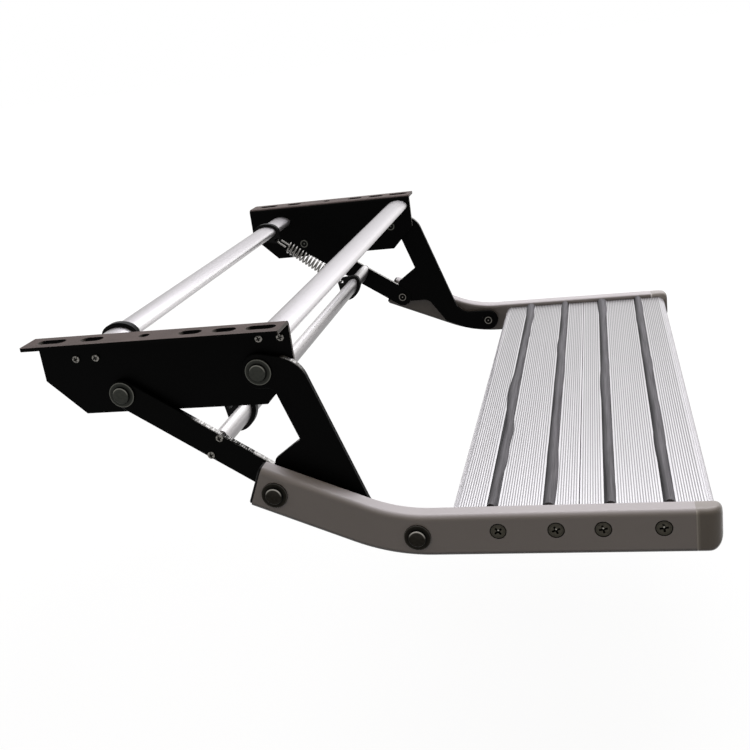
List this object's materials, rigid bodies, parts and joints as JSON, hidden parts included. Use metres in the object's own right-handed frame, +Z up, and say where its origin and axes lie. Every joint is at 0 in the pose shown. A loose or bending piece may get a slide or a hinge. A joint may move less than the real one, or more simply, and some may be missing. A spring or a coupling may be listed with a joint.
{
  "type": "folding entry step",
  "caption": "Folding caravan entry step: side plates with cross tubes, sprung links and goose-neck arms that swing a ribbed two-plank tread out from under the floor",
  "frame": {"origin": "centre of the four long corner slots, on the top faces of the two flanges", "axes": "X outward from the door, Y to the left when facing out, Z up"},
  "size_m": [0.5239, 0.6106, 0.1904],
  "materials": {
    "black_powder_coat": "fine satin powder coat, bare cut edges",
    "satin_aluminium": "satin extruded",
    "bright_zinc": "bright zinc",
    "olive_zinc": "olive zinc",
    "black_zinc": "black zinc",
    "grey_coated_rail": "warm grey satin coat",
    "grey_moulding": "semi-gloss",
    "black_moulding": "semi-matt",
    "anodised_plank": "natural anodised, ribbed",
    "grey_rubber": "matt, fine lengthwise ribs",
    "gunmetal_screw": "gunmetal",
    "spring_steel": "bright zinc"
  },
  "bodies": {
    "frame": {"side_plate_left": "black_powder_coat", "side_plate_right": "black_powder_coat", "rear_cross_tube": "satin_aluminium", "front_cross_tube": "satin_aluminium", "plate_screws_left": "bright_zinc", "plate_screws_right": "bright_zinc", "rear_link_pivot_left": "olive_zinc", "rear_link_pivot_right": "olive_zinc", "front_arm_pivot_left": "olive_zinc", "front_arm_pivot_right": "olive_zinc", "rear_link_washer_left": "olive_zinc", "rear_link_washer_right": "olive_zinc", "front_arm_washer_left": "olive_zinc", "front_arm_washer_right": "olive_zinc", "tube_clip_left": "black_moulding", "tube_clip_right": "black_moulding"},
    "rear_links": {"rear_link_left": "black_powder_coat", "rear_link_right": "black_powder_coat", "link_tube": "satin_aluminium", "link_screws_left": "bright_zinc", "link_screws_right": "bright_zinc", "link_clip_left": "black_moulding", "link_clip_right": "black_moulding"},
    "front_arms": {"front_arm_left": "black_powder_coat", "front_arm_right": "black_powder_coat", "arm_foot_pin_left": "black_zinc", "arm_foot_pin_right": "black_zinc"},
    "tread": {"side_rail_left": "grey_coated_rail", "side_rail_right": "grey_coated_rail", "rail_end_cap_left": "grey_moulding", "rail_end_cap_right": "grey_moulding", "rail_end_plug_left": "black_moulding", "rail_end_plug_right": "black_moulding", "front_plank": "anodised_plank", "rear_plank": "anodised_plank", "grip_strip_1": "grey_rubber", "grip_strip_2": "grey_rubber", "grip_strip_3": "grey_rubber", "grip_strip_4": "grey_rubber", "tread_screws_left": "gunmetal_screw", "tread_screws_right": "gunmetal_screw", "rail_rear_pivot_left": "black_zinc", "rail_rear_pivot_right": "black_zinc", "rail_front_pivot_left": "black_zinc", "rail_front_pivot_right": "black_zinc", "rear_pivot_spacer_left": "black_zinc", "rear_pivot_spacer_right": "black_zinc", "front_pivot_spacer_left": "black_zinc", "front_pivot_spacer_right": "black_zinc"},
    "springs": {"spring_left": "spring_steel", "spring_right": "spring_steel"}
  },
  "joints": [
    {"name": "fold", "type": "hinge", "parent": "frame", "child": "rear_links", "pos_m": [-0.0415, 0, -0.05], "axis": [0, 1, 0], "range_deg": [0, 130], "stiffness_Nm_per_rad": 5, "springref_deg": -91.67, "deforming": ["spring_left", "spring_right"]},
    {"name": "arm_swing", "type": "hinge", "parent": "frame", "child": "front_arms", "pos_m": [0.0766, 0, -0.0377], "axis": [0, 1, 0], "range_deg": [0, 99]},
    {"name": "tread_swing", "type": "hinge", "parent": "rear_links", "child": "tread", "pos_m": [0.0798, 0, -0.1333], "axis": [0, 1, 0], "range_deg": [-130.5, 0]},
    {"name": "spring_swing", "type": "hinge", "parent": "frame", "child": "springs", "pos_m": [-0.05652, 0, -0.02975], "axis": [0, 1, 0], "range_deg": [0, 110]}
  ],
  "couplings": [
    {"joint": "arm_swing", "follows": "fold", "ratio": 0.758},
    {"joint": "tread_swing", "follows": "fold", "ratio": -1},
    {"joint": "spring_swing", "follows": "fold", "ratio": 0.8029}
  ]
}
